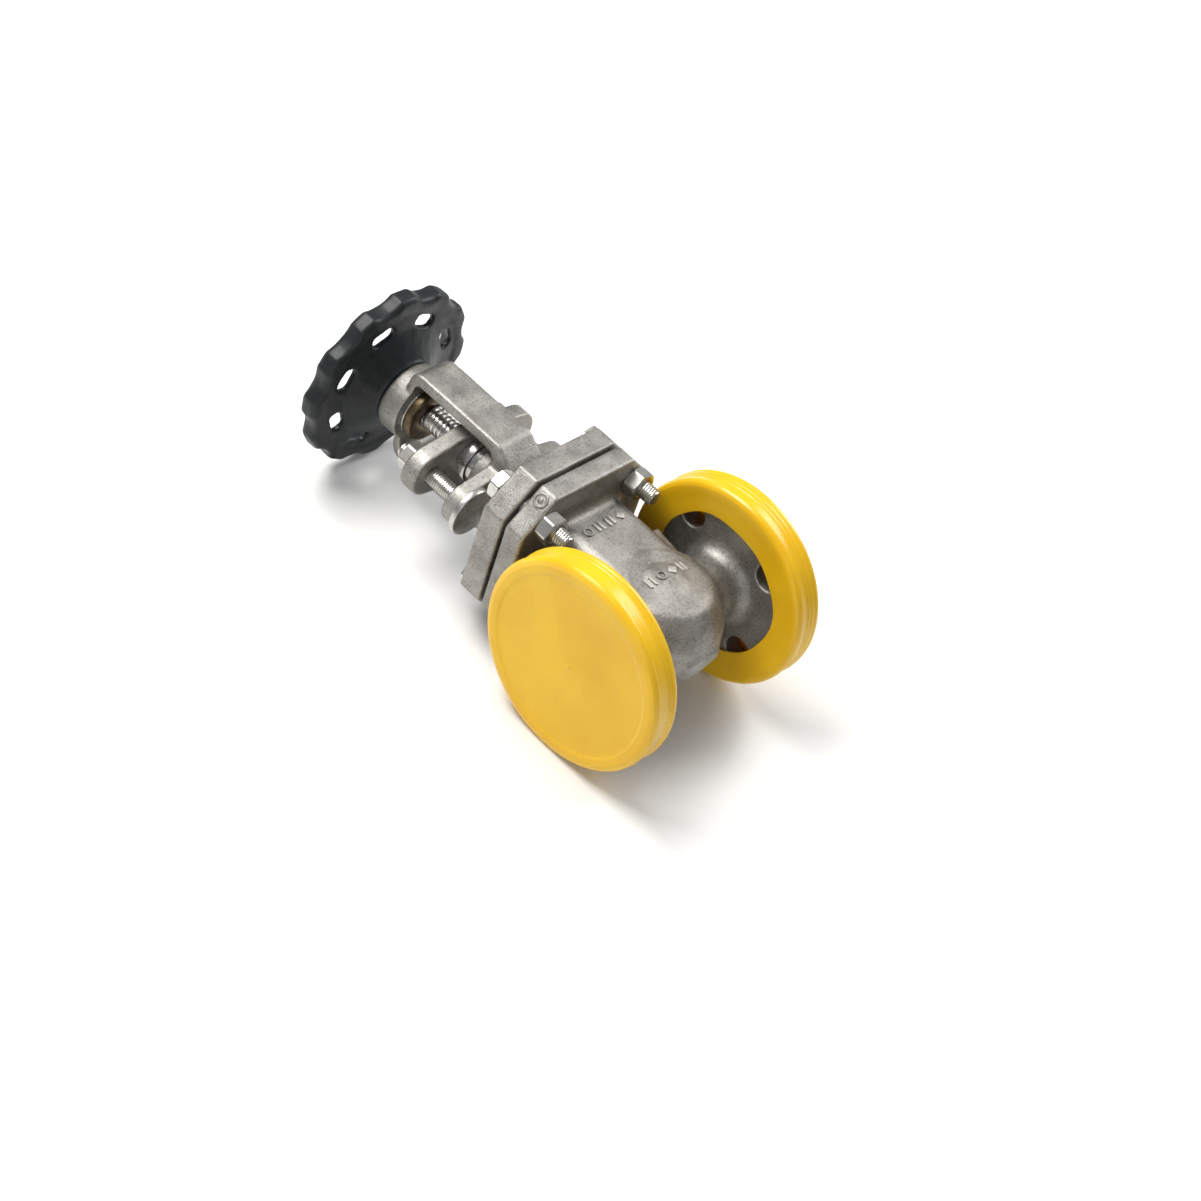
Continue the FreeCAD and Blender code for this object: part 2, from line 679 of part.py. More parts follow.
def make_cap(side):
    """Pull-on flange cap: flat face with a raised border, a beaded skirt and a lip behind the flange."""
    face_in = half_length + cap_gap
    face_out = face_in + cap_face_thick
    border = face_out + cap_border_high
    lip_front = flange_back - cap_gap
    lip_back = lip_front - cap_lip_thick
    bead = cap_bead_wide
    profile = [(0, face_in), (cap_inner_r - 1, face_in), (cap_inner_r, face_in - 1), (cap_inner_r, lip_front),
               (cap_lip_inner_r, lip_front), (cap_lip_inner_r, lip_back), (cap_outer_r - 1, lip_back),
               (cap_bead_r, lip_back + 1), (cap_bead_r, lip_back + bead - 1), (cap_outer_r, lip_back + bead),
               (cap_outer_r, border - bead), (cap_bead_r, border - bead + 1), (cap_bead_r, border - 1.5),
               (cap_bead_r - 1.5, border), (cap_border_r + 1, border), (cap_border_r, face_out),
               (0, face_out)]
    cap = spin_x(profile)
    return cap if side > 0 else mirrored_x(cap)


# ---- write everything ----------------------------------------------------------------------------------

os.makedirs("parts", exist_ok=True)
save("body", make_body())
save("inlet_seat_ring", make_seat(1))
save("outlet_seat_ring", make_seat(-1))
save("gate", make_gate())
save("stem", make_stem())
save("bonnet_gasket", make_gasket())
save("bonnet", make_bonnet())
save("back_seat_bushing", make_back_seat_bushing())
for number in range(packing_rings):
    save("packing_ring_" + str(number + 1), make_packing_ring(number))
save("bonnet_bolts", *[joint_bolt(x, y) for x, y in corners_of(joint_bolt_offset)])
save("bonnet_nuts", *[nut(x, y, body_plate_low - nut_high) for x, y in corners_of(joint_bolt_offset)])
save("gland", make_gland())
save("gland_flange", make_gland_flange())
save("gland_bolts", gland_bolt(1), gland_bolt(-1))
save("gland_nuts", *[nut(side * gland_bolt_offset, 0, gland_flange_top) for side in (1, -1)])
save("thrust_washer", make_thrust_washer())
save("yoke_sleeve", make_yoke_sleeve())
save("handwheel_key", make_key())
save("handwheel", make_handwheel())
save("handwheel_nut", make_handwheel_nut())
save("inlet_cap", make_cap(1))
save("outlet_cap", make_cap(-1))
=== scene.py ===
# %% [markdown]
# # A small flanged gate valve with capped ends
#
# This lesson dresses an engineering model of a forged steel gate valve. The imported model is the
# frame: it says where every part is and which body it moves with. Blender adds the looks, which are
# soft forged edges, real screw threads, hexagons with turned corners, moulded caps and a finish for
# every metal.

# %% Load the frame
import math
import bmesh
import bpy
from mathutils import Matrix, Vector, noise


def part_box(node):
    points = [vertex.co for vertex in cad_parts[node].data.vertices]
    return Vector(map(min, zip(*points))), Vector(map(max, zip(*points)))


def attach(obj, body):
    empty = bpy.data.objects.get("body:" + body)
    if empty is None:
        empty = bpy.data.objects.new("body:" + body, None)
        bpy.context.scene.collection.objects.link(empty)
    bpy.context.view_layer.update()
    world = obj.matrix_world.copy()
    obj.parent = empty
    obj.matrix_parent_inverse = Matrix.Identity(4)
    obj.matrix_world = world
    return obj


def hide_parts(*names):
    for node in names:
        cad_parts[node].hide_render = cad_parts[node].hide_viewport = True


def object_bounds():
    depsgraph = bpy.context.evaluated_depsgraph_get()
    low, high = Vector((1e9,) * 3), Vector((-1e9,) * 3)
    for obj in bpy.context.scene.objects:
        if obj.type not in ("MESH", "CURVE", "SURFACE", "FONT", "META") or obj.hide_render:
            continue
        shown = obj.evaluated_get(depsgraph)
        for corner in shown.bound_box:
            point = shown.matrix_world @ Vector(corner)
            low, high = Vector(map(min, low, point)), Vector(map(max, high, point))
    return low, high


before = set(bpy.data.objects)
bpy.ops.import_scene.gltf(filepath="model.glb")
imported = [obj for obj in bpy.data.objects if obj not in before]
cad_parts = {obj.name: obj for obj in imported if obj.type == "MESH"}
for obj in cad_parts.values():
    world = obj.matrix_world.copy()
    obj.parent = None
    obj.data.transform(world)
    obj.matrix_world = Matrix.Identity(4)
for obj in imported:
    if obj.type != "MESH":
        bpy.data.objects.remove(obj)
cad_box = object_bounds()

print("box of the whole valve:", [tuple(round(v, 4) for v in corner) for corner in cad_box])

# %% [markdown]
# ## Two ways up
#
# The valve lies on its side on the rims of its caps, but a fitter thinks of it standing up, with
# the stem vertical. Every new piece is therefore drawn upright, in millimetres, with the origin
# where the stem's axis crosses the bore: z runs up the stem and x out of the inlet. One matrix lays
# a finished piece down in its place. Its two offsets come from the frame, so that the pieces follow
# the model.

# %% The matrix that lays a piece down
MM = 0.001
cap_low, cap_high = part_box("outlet_cap")
bore_middle = (cap_low + cap_high) / 2
LAY_DOWN = Matrix(((-MM, 0, 0, 0), (0, 0, MM, bore_middle.y), (0, MM, 0, bore_middle.z), (0, 0, 0, 1)))
STAND_UP = LAY_DOWN.inverted()


def extent(node):
    """Lowest and highest corner of a part, upright and in millimetres."""
    a, b = (STAND_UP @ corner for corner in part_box(node))
    return Vector(map(min, a, b)), Vector(map(max, a, b))


wheel_low, wheel_high = extent("handwheel")
print("handwheel from", round(wheel_low.z, 1), "to", round(wheel_high.z, 1), "mm above the bore")

# %% [markdown]
# ## Paint mixing
#
# A material is a small network of nodes. Written out link by link it is hard to read, so two
# helpers do the wiring. A Signal is one output socket, and ordinary arithmetic on it adds Math
# nodes. A Finish is one material, and its one method, node, adds a node of any type with its
# settings and its inputs.


# %% Signals and finishes
class Signal:
    """An output socket that takes part in ordinary arithmetic."""

    def __init__(self, finish, socket):
        self.finish = finish
        self.socket = socket

    def math(self, operation, a, b):
        return self.finish.node("ShaderNodeMath", {"operation": operation}, {0: a, 1: b})

    def __add__(self, other):
        return self.math("ADD", self, other)

    def __radd__(self, other):
        return self.math("ADD", other, self)

    def __mul__(self, other):
        return self.math("MULTIPLY", self, other)

    def __rmul__(self, other):
        return self.math("MULTIPLY", other, self)


class Finish:
    """One material, built round a Principled shader."""

    def __init__(self, name, **constants):
        self.material = bpy.data.materials.new(name)
        self.material.use_nodes = True
        self.tree = self.material.node_tree
        self.shader = self.tree.nodes["Principled BSDF"]
        for socket, value in constants.items():
            self.shader.inputs[socket.replace("_", " ")].default_value = value
        self.place = self.node("ShaderNodeTexCoord", {}, {}, "Object")

    def node(self, kind, settings, inputs, out=0):
        """Add a node: first its settings, then the values or links of its inputs.  Returns one output."""
        made = self.tree.nodes.new(kind)
        for key, value in settings.items():
            setattr(made, key, value)
        for key, value in inputs.items():
            if isinstance(value, Signal):
                self.tree.links.new(value.socket, made.inputs[key])
            else:
                made.inputs[key].default_value = value
        return Signal(self, made.outputs[out])

    def grain(self, size, detail=3.0, rough=0.55):
        """Noise whose lumps are about this many millimetres across."""
        return self.node("ShaderNodeTexNoise", {}, {"Vector": self.place, "Scale": 1 / (size * MM),
                                                    "Detail": detail, "Roughness": rough})

    def between(self, signal, low, high):
        """Stretch a signal so that low becomes 0 and high becomes 1."""
        return self.node("ShaderNodeMapRange", {}, {0: signal, 1: low, 2: high, 3: 0.0, 4: 1.0})

    def mix(self, factor, a, b):
        """Blend of two colours."""
        a, b = (c if isinstance(c, Signal) else (*c, 1.0) for c in (a, b))
        return self.node("ShaderNodeMix", {"data_type": "RGBA"}, {0: factor, 6: a, 7: b}, 2)

    def edges(self, low, high):
        """Pointiness stretched so that low becomes 0 and high becomes 1: 1 on outer edges and corners,
        which get rubbed, when high is above low, and 1 in hollows and creases when low is above high.
        """
        worn = self.node("ShaderNodeNewGeometry", {}, {}, "Pointiness")
        return self.between(worn, low, high)

    def relief(self, *layers):
        """Bump from (height signal, depth in millimetres) layers, one on top of the other."""
        normal = None
        for height, depth in layers:
            inputs = {"Height": height, "Distance": depth * MM, "Strength": 1.0}
            if normal:
                inputs["Normal"] = normal
            normal = self.node("ShaderNodeBump", {}, inputs)
        self.feed(Normal=normal)

    def feed(self, **signals):
        for socket, signal in signals.items():
            self.tree.links.new(signal.socket, self.shader.inputs[socket.replace("_", " ")])


print("helpers for finishes are ready")

# %% [markdown]
# ## Forged and blasted steel
#
# The body and the bonnet are forgings. Scale is blasted off them with grit, which leaves a light
# grey skin of tiny pits, a little darker where the pits are deep and brighter on the edges that get
# handled. Three sizes of noise do this: fine grit, pits of about a millimetre and slow clouds of
# tone.
# Hollows and creases, found by the surface's Pointiness, are darkened as painted shade.


# %% Forged steel
def forged_steel():
    steel = Finish("forged_steel", Metallic=0.9)
    grit = steel.grain(0.45, 2.0)
    pits = steel.grain(1.6, 4.0, 0.62)
    clouds = steel.grain(14.0, 2.0)
    tone = steel.mix(steel.between(clouds, 0.35, 0.68), (0.215, 0.207, 0.190), (0.350, 0.337, 0.312))
    deep = steel.between(pits, 0.47, 0.30)
    tone = steel.mix(deep * 0.65, tone, (0.07, 0.066, 0.058))
    # painted shade: hollows and creases, where Pointiness is low, are darkened towards near black for the
    # shade that falls in them
    hollow_shade = steel.edges(0.48, 0.42)
    tone = steel.mix(hollow_shade * 0.8, tone, (0.045, 0.040, 0.032))
    speck = steel.between(grit, 0.52, 0.72)
    tone = steel.mix(speck * 0.6, tone, (0.68, 0.66, 0.63))
    tone = steel.mix(steel.edges(0.53, 0.60) * 0.6, tone, (0.72, 0.70, 0.67))
    steel.feed(Base_Color=tone, Roughness=0.36 + 0.16 * clouds + 0.10 * grit)
    steel.relief((pits, 0.20), (grit, 0.12))
    return steel.material


finishes = {"forged_steel": forged_steel()}
print("forged steel is mixed")

# %% [markdown]
# ## Bright, plated and soft metals
#
# Nuts and bolts are zinc plated, which is pale and nearly smooth. The stem, gland and washer are
# turned from stainless bar. The long nut that lifts the stem is bronze. The same recipe suits them
# all: a metal with a slow drift in its colour, a fine noise in its roughness and a shallow bump,
# and only the numbers differ.
# The bronze's colour is kept much darker than bare bronze: a painted shade for the shadow that it sits in,
# inside the yoke.


# %% Plain metals
def plain_metal(name, dark, light, rough, size, depth, worn=0.4):
    metal = Finish(name, Metallic=1.0)
    drift = metal.grain(size * 6, 2.0)
    fine = metal.grain(size, 3.0)
    tone = metal.mix(metal.between(drift, 0.35, 0.65), dark, light)
    tone = metal.mix(metal.edges(0.52, 0.60) * worn, tone, tuple(min(1.0, c * 1.35) for c in light))
    metal.feed(Base_Color=tone, Roughness=(rough - 0.05) + 0.14 * fine)
    metal.relief((fine, depth))
    return metal.material


finishes["zinc_plated_steel"] = plain_metal("zinc_plated_steel", (0.42, 0.41, 0.385), (0.58, 0.57, 0.54),
                                            0.30, 0.8, 0.03)
finishes["stem_steel"] = plain_metal("stem_steel", (0.42, 0.41, 0.40), (0.56, 0.55, 0.53), 0.24, 0.5, 0.02)
finishes["seat_steel"] = plain_metal("seat_steel", (0.36, 0.355, 0.35), (0.47, 0.465, 0.455),
                                     0.30, 0.6, 0.02)
# painted shade: these bronze colours are darkened well below bare bronze for the shade the sleeve sits in
# inside the yoke
finishes["bronze"] = plain_metal("bronze", (0.085, 0.062, 0.036), (0.16, 0.118, 0.068), 0.38, 0.9, 0.03)
print("plain metals:", [name for name in finishes])

# %% [markdown]
# ## Packing and gasket
#
# Graphite packing and the sheet gasket are nearly black, dull and slightly fibrous. Stretching the
# noise along one direction with a Mapping node would show fibres; at this size a mottled dark grey
# is enough.


# %% Dark soft materials
def dull_black(name, shade, size):
    dark = Finish(name, Metallic=0.0)
    mottle = dark.grain(size, 4.0, 0.65)
    lighter = tuple(c * 2.4 for c in shade)
    dark.feed(Base_Color=dark.mix(mottle, shade, lighter), Roughness=0.62 + 0.2 * mottle)
    dark.relief((mottle, 0.06))
    return dark.material


finishes["gasket"] = dull_black("gasket", (0.012, 0.012, 0.012), 1.2)
finishes["graphite"] = dull_black("graphite", (0.03, 0.03, 0.032), 0.7)
print("dark materials are mixed")

# %% [markdown]
# ## Wheel paint
#
# The cast handwheel is dipped in black enamel. The enamel is a thin, half glossy skin over rough
# cast iron, so the casting's lumps show through as a soft waviness in the highlights, and the outer
# edges of the rim are a lighter blue-grey: partly wear where hands have polished the tips of the
# rim, partly a painted highlight for the sheen on those edges.


# %% Black enamel
def wheel_paint():
    paint = Finish("wheel_paint", Metallic=0.0, Coat_Roughness=0.22, Specular_IOR_Level=0.30)
    lumps = paint.grain(2.6, 3.0)
    haze = paint.grain(11.0, 2.0)
    tone = paint.mix(haze, (0.0045, 0.0060, 0.0068), (0.010, 0.013, 0.015))
    # wear and painted highlight: the rim's outer edges are lightened to blue-grey, partly wear on the tips,
    # partly a painted highlight for their sheen
    tone = paint.mix(paint.edges(0.53, 0.64) * 0.5, tone, (0.045, 0.053, 0.060))
    paint.feed(Base_Color=tone, Roughness=0.38 + 0.20 * haze, Coat_Weight=0.16 * haze)
    paint.relief((lumps, 0.22))
    return paint.material


finishes["wheel_paint"] = wheel_paint()
print("wheel paint is mixed")

# %% [markdown]
# ## Cap plastic
#
# The caps are moulded from soft yellow polyethylene. It is glossy but never quite flat, so
# reflections wobble slowly across it, and a little light soaks into it, which lightens the thin
# rims. A faint orange peel and very small dust marks keep it from looking like paint.


# %% Yellow polyethylene
def cap_plastic():
    plastic = Finish("cap_plastic", Metallic=0.0, Subsurface_Weight=0.12, Subsurface_Scale=0.004,
                     Subsurface_Radius=(1.0, 0.55, 0.08), Specular_IOR_Level=0.42, IOR=1.51)
    slow = plastic.grain(38.0, 1.5)
    peel = plastic.grain(1.3, 2.0)
    dust = plastic.grain(0.9, 5.0, 0.7)
    tone = plastic.mix(plastic.between(slow, 0.3, 0.7), (0.73, 0.415, 0.006), (0.81, 0.500, 0.010))
    marks = plastic.between(dust, 0.72, 0.80)
    tone = plastic.mix(marks * 0.3, tone, (0.86, 0.66, 0.20))
    plastic.feed(Base_Color=tone, Roughness=0.20 + 0.14 * slow + 0.10 * marks)
    plastic.relief((slow, 0.50), (peel, 0.012))
    return plastic.material


finishes["cap_plastic"] = cap_plastic()
print("finishes:", len(finishes))

# %% [markdown]
# ## From a mesh to a piece
#
# A new piece is a bmesh, drawn upright in millimetres. Its doubles are merged and its normals are
# turned outwards while it is still upright, then it is laid down and becomes an object at the
# origin. Smooth shading is kept, with a sharp crease wherever two faces meet at more than a set
# angle.


# %% Add a piece
def add_piece(name, bm, body, slot, nodes, crease=38):
    bmesh.ops.remove_doubles(bm, verts=bm.verts, dist=0.001)
    bmesh.ops.recalc_face_normals(bm, faces=bm.faces)
    bmesh.ops.transform(bm, matrix=LAY_DOWN, verts=bm.verts)
    mesh = bpy.data.meshes.new(name)
    bm.to_mesh(mesh)
    bm.free()
    return add_mesh(name, mesh, body, slot, nodes, crease)


def add_mesh(name, mesh, body, slot, nodes, crease=38):
    mesh.materials.clear()
    mesh.materials.append(finishes[slot])
    mesh.polygons.foreach_set("use_smooth", [True] * len(mesh.polygons))
    mesh.set_sharp_from_angle(angle=math.radians(crease))
    piece = bpy.data.objects.new(name, mesh)
    bpy.context.scene.collection.objects.link(piece)
    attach(piece, body)
    if nodes:
        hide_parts(*nodes)
    print(f"{name}: {sum(len(p.vertices) - 2 for p in mesh.polygons)} triangles")
    return piece


# %% [markdown]
# ## Turning
#
# Most of a valve is turned on a lathe. A turned shape here is a row of rings: a circle is made once
# and then extruded edge by edge, and each new ring is moved to its own radius and height. A radius
# may also be a function of the angle, which turns the same few lines into a tool for hexagons and
# wavy plastic lips.


# %% Rings into a closed shape
def size_at(value, angle):
    return value(angle) if callable(value) else value


def turned(bm, rings, segments=64, x=0.0, y=0.0, tube=False):
    """Skin over a row of (radius, height) rings.  A tube joins the last ring to the first."""
    made = bmesh.ops.create_circle(bm, segments=segments, radius=1.0)
    ring = made["verts"]
    skin = list(ring)
    first = ring
    for number, (radius, height) in enumerate(rings):
        if number:
            grown = bmesh.ops.extrude_edge_only(bm, edges=loop_of(ring))["geom"]
            ring = [g for g in grown if isinstance(g, bmesh.types.BMVert)]
            skin += ring
        for v in ring:
            angle = math.atan2(v.co.y, v.co.x)
            reach = size_at(radius, angle)
            v.co = (reach * math.cos(angle), reach * math.sin(angle), size_at(height, angle))
    ends = [loop_of(ring), loop_of(first)]
    if tube:
        bmesh.ops.bridge_loops(bm, edges=ends[0] + ends[1])
    else:
        for end in ends:
            bmesh.ops.contextual_create(bm, geom=end)
    bmesh.ops.translate(bm, verts=skin, vec=(x, y, 0))
    return skin


def loop_of(ring):
    inside = set(ring)
    return list({e for v in ring for e in v.link_edges if e.verts[0] in inside and e.verts[1] in inside})


def round_off(bm, width, sharp, steps=2):
    """Bevel the edges that are sharper than an angle, as a file or a casting would."""
    keen = [e for e in bm.edges if len(e.link_faces) == 2 and e.calc_face_angle(0) > math.radians(sharp)]
    bmesh.ops.bevel(bm, geom=keen, offset=width, segments=steps, profile=0.5, affect="EDGES",
                    material=-1, clamp_overlap=True)


print("turning tools are ready")

# %% [markdown]
# ## Threads
#
# A thread is one short outline carried round and up at the same time: spin with a lift per step.
# The outline is a flat-topped tooth whose foot is buried in the core, so the two only have to
# overlap. Its ends are closed so that it stays a solid.


# %% A screw thread
def thread(bm, root, crest, pitch, low, high, x=0.0, y=0.0, steps=18):
    foot, tip = pitch * 0.44, pitch * 0.14
    outline = [(root - 0.4, -foot), (crest, -tip), (crest, tip), (root - 0.4, foot)]
    verts = [bm.verts.new((x + r, y, low + foot + z)) for r, z in outline]
    edges = [bm.edges.new((a, b)) for a, b in zip(verts, verts[1:] + verts[:1])]
    turns = (high - low - 2 * foot) / pitch
    count = max(2, round(turns * steps))
    spun = bmesh.ops.spin(bm, geom=verts + edges, cent=(x, y, 0), axis=(0, 0, 1), angle=math.tau * turns,
                          dvec=(0, 0, pitch * turns / count), steps=count)
    last = [g for g in spun["geom_last"] if isinstance(g, bmesh.types.BMEdge)]
    for end in (edges, last):
        bmesh.ops.contextual_create(bm, geom=end)


# %% [markdown]
# ## Hexagons
#
# A nut or a bolt head is a hexagonal bar with its corners turned off in a lathe. The bar's outline
# is a radius that changes with the angle, and the turned cone cuts lower at the corners than at the
# flats, which leaves the curved bright edge that every real nut has.


# %% Nuts and heads
def hexagon(bm, flats, low, high, x=0.0, y=0.0, bore=0.0, foot=True, turn=0.0):
    half = flats / 2
    corner = 0.975 * flats / math.sqrt(3)

    def outline(angle):
        across = (angle + turn + math.pi / 6) % (math.pi / 3) - math.pi / 6
        return min(half / math.cos(across), corner)

    def cone(angle):
        return max(0.0, outline(angle) - 0.965 * half) * 0.55

    rings = [(0.95 * half, high), (outline, lambda a: high - cone(a))]
    if foot:
        rings += [(outline, lambda a: low + cone(a)), (0.95 * half, low)]
    else:
        rings += [(outline, low)]
    if bore:
        rings = [(bore, high - 0.7), (bore + 0.7, high)] + rings + [(bore + 0.7, low), (bore, low + 0.7)]
    turned(bm, rings, 72, x, y, tube=bool(bore))


hex_flats = 16.0
print("hexagons are", hex_flats, "mm across flats")

# %% [markdown]
# ## Bolts through the joint
#
# Four bolts clamp the bonnet to the body. Each one is a head, a plain shank hidden in the plates,
# and a threaded end that stands well past its nut. Their heights come from the frame: the top of
# the bolts' box is the top of the heads, and the nuts' box gives the nuts.

# %% Bonnet bolts and nuts
bolt_low, bolt_high = extent("bonnet_bolts")
nut_low, nut_high = extent("bonnet_nuts")
head_above_plate = 16.5
plate_top = extent("gland_bolts")[0].z - head_above_plate
bolt_at = bolt_high.x - hex_flats / math.sqrt(3)
bolt_r, thread_root, tip_r, bolt_pitch = 5.0, 4.25, 3.9, 1.5
corners = [(sx * bolt_at, sy * bolt_at) for sx in (1, -1) for sy in (1, -1)]

bolts = bmesh.new()
nuts = bmesh.new()
for number, (x, y) in enumerate(corners):
    hexagon(bolts, hex_flats, plate_top, bolt_high.z, x, y, foot=False, turn=0.35 * number)
    turned(bolts, [(tip_r, bolt_low.z), (thread_root, bolt_low.z + 0.8), (thread_root, nut_low.z + 3),
                   (bolt_r, nut_low.z + 4), (bolt_r, plate_top + 1)], 32, x, y)
    thread(bolts, thread_root, bolt_r, bolt_pitch, bolt_low.z + 0.3, nut_low.z + 4, x, y)
    hexagon(nuts, hex_flats, nut_low.z, nut_high.z, x, y, bore=bolt_r, turn=0.5 + 0.4 * number)
add_piece("bonnet_bolts_threaded", bolts, "valve_body", "zinc_plated_steel", ["bonnet_bolts"])
add_piece("bonnet_nuts_chamfered", nuts, "valve_body", "zinc_plated_steel", ["bonnet_nuts"])

# %% [markdown]
# ## Gland bolts
#
# Two long bolts stand up from the bonnet's ears. Below the ear each has a broad, flat, round head,
# and above it the thread runs the whole way through the gland flange to its nut. The bolts belong
# to the valve body, while the nuts slide back with the gland.

# %% Gland bolts and nuts
gland_low, gland_high = extent("gland_bolts")
gnut_low, gnut_high = extent("gland_nuts")
gland_at = 32.0
head_r, head_high = 15.0, 4.0

gland_bolts = bmesh.new()
gland_nuts = bmesh.new()
for side in (1, -1):
    x = side * gland_at
    ear = gland_low.z + head_high
    turned(gland_bolts, [(head_r - 1.2, gland_low.z), (head_r - 0.3, gland_low.z + 0.4),
                         (head_r, gland_low.z + 1.1), (head_r, ear - 0.6), (head_r - 0.6, ear),
                         (thread_root, ear), (thread_root, gland_high.z - 0.8),
                         (tip_r, gland_high.z)], 64, x)
    thread(gland_bolts, thread_root, bolt_r, bolt_pitch, ear, gland_high.z - 0.3, x)
    hexagon(gland_nuts, hex_flats, gnut_low.z, gnut_high.z, x, bore=bolt_r, turn=0.3 * side)
add_piece("gland_bolts_threaded", gland_bolts, "valve_body", "zinc_plated_steel", ["gland_bolts"])
add_piece("gland_nuts_chamfered", gland_nuts, "gland_set", "zinc_plated_steel", ["gland_nuts"])

# %% [markdown]
# ## Stem
#
# The stem slides through the packing on its smooth lower part and is lifted by the thread on its
# upper part. Its lower end, with the T head and the collar, is hidden in the body, so a few plain
# shapes stand for it there. The upper part is turned down to its root, under a coarse flat-topped
# thread.

# %% The threaded stem
stem_low, stem_high = extent("stem")
stem_r, stem_root, stem_pitch, thread_start = 7.5, 6.5, 3.0, 156.0

stem = bmesh.new()
turned(stem, [(stem_r, stem_low.z + 30), (stem_r, thread_start), (stem_root, thread_start + 1.5),
              (stem_root, stem_high.z - 1), (5.9, stem_high.z)], 48)
thread(stem, stem_root, stem_r, stem_pitch, thread_start, stem_high.z - 0.4, steps=30)
collar, collar_r = extent("gate")[1].z + 14, 10.5
turned(stem, [(stem_r, collar), (collar_r, collar + 0.4), (collar_r, collar + 4.2),
              (stem_r, collar + 6.5)], 48)
turned(stem, [(5.0, stem_low.z + 4.5), (5.0, stem_low.z + 31)], 32)
head = bmesh.ops.create_cube(stem, size=1.0)["verts"]
bmesh.ops.scale(stem, verts=head, vec=(11, 19, 5))
bmesh.ops.translate(stem, verts=head, vec=(0, 0, stem_low.z + 2.5))
add_piece("stem_threaded", stem, "stem_set", "stem_steel", ["stem"])

# %% [markdown]
# ## Softened copies
#
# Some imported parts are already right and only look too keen, because no machined edge is perfectly
# sharp. A copy of such a part is merged, its flat triangles are dissolved into whole faces, and its
# edges are bevelled by a few tenths of a millimetre. The frame's own mesh is never touched.


# %% Copy, merge and bevel
def softened(node, name, body, slot, width, sharp=28):
    bm = bmesh.new()
    bm.from_mesh(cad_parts[node].data)
    bmesh.ops.transform(bm, matrix=STAND_UP, verts=bm.verts)
    bmesh.ops.remove_doubles(bm, verts=bm.verts, dist=0.002)
    bmesh.ops.dissolve_limit(bm, angle_limit=math.radians(0.6), verts=bm.verts, edges=bm.edges)
    round_off(bm, width, sharp)
    return add_piece(name, bm, body, slot, [node])


softened("yoke_sleeve", "yoke_sleeve_turned", "wheel_set", "bronze", 0.35)
softened("thrust_washer", "thrust_washer_turned", "valve_body", "stem_steel", 0.2)
softened("gland", "gland_turned", "gland_set", "stem_steel", 0.3)

# %% [markdown]
# ## Wheel nut
#
# A large thin nut holds the wheel down on the sleeve. It is the same hexagon as before, only wider,
# and its bore is the sleeve's thread.

# %% Handwheel nut
wnut_low, wnut_high = extent("handwheel_nut")
wheel_nut_flats, wheel_nut_bore = 27.0, 9.05
wheel_nut = bmesh.new()
hexagon(wheel_nut, wheel_nut_flats, wnut_low.z, wnut_high.z, bore=wheel_nut_bore)
add_piece("handwheel_nut_chamfered", wheel_nut, "wheel_set", "zinc_plated_steel", ["handwheel_nut"])

# %% [markdown]
# ## Forging
#
# A forging or a casting has no keen edge anywhere, and where two shapes meet there is a soft
# fillet. Modelling each fillet by hand is slow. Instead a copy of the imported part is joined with
# any extra lumps, rebuilt as an even skin of small squares by the Remesh modifier, relaxed by the
# Smooth modifier, and thinned by Decimate. A little noise then moves the skin by a tenth of a
# millimetre or two, the same way on every run.


# %% Forge a soft-edged copy
running_fit = 0.5
melt_passes = 60
ripples_per_metre = 160.0


def forged(node, name, body, slot, skin, relax, keep, ripple, extras=None, melt=None, ease=None):
    """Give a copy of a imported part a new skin.

    skin is the size of the squares and ripple the depth of the unevenness, both in millimetres.  melt says
    which points of the upright skin are relaxed a good deal more, to lose an edge, and ease says which ones
    step back by a running fit, so that a part inside can still slide."""
    bm = bmesh.new()
    bm.from_mesh(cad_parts[node].data)
    bmesh.ops.remove_doubles(bm, verts=bm.verts, dist=2e-6)
    mesh = bpy.data.meshes.new(name + "_raw")
    if extras:
        bmesh.ops.recalc_face_normals(extras, faces=extras.faces)
        bmesh.ops.transform(extras, matrix=LAY_DOWN, verts=extras.verts)
        extras.to_mesh(mesh)
        extras.free()
        bm.from_mesh(mesh)
    bm.to_mesh(mesh)
    bm.free()
    rough = bpy.data.objects.new(name + "_raw", mesh)
    bpy.context.scene.collection.objects.link(rough)
    remesh = rough.modifiers.new("skin", "REMESH")
    remesh.mode = "VOXEL"
    remesh.voxel_size = skin * MM
    smooth = rough.modifiers.new("relax", "SMOOTH")
    smooth.factor = 0.5
    smooth.iterations = relax
    thin = rough.modifiers.new("thin", "DECIMATE")
    thin.ratio = keep
    ready = rough.evaluated_get(bpy.context.evaluated_depsgraph_get())
    result = bpy.data.meshes.new_from_object(ready)
    result.name = name
    bpy.data.objects.remove(rough)
    if melt:
        bm = bmesh.new()
        bm.from_mesh(result)
        soft = [v for v in bm.verts if melt(STAND_UP @ v.co)]
        for _ in range(melt_passes):
            bmesh.ops.smooth_vert(bm, verts=soft, factor=0.5,
                                  use_axis_x=True, use_axis_y=True, use_axis_z=True)
        bm.to_mesh(result)
        bm.free()
    outward = [v.normal.copy() for v in result.vertices]
    for v, normal in zip(result.vertices, outward):
        v.co += normal * (noise.noise(v.co * ripples_per_metre) * ripple * MM)
        if ease and ease(STAND_UP @ v.co):
            v.co -= normal * running_fit * MM
    return add_mesh(name, result, body, slot, [node], crease=60)


print("forging tools are ready")

# %% [markdown]
# ## Shapes to add to the body
#
# The body's forging has a few marks of how it was made: a raised round pad and a low dome on each
# side, a short rib on two corners of the neck, and a ridge under the belly. They are added as
# blocks, discs and slices of an ellipsoid before the skin is rebuilt, so the skin flows over them.
# The new skin wraps everything that it is given, so a whole ellipsoid would fill the cavity and the
# bore: only its outer slices are used.


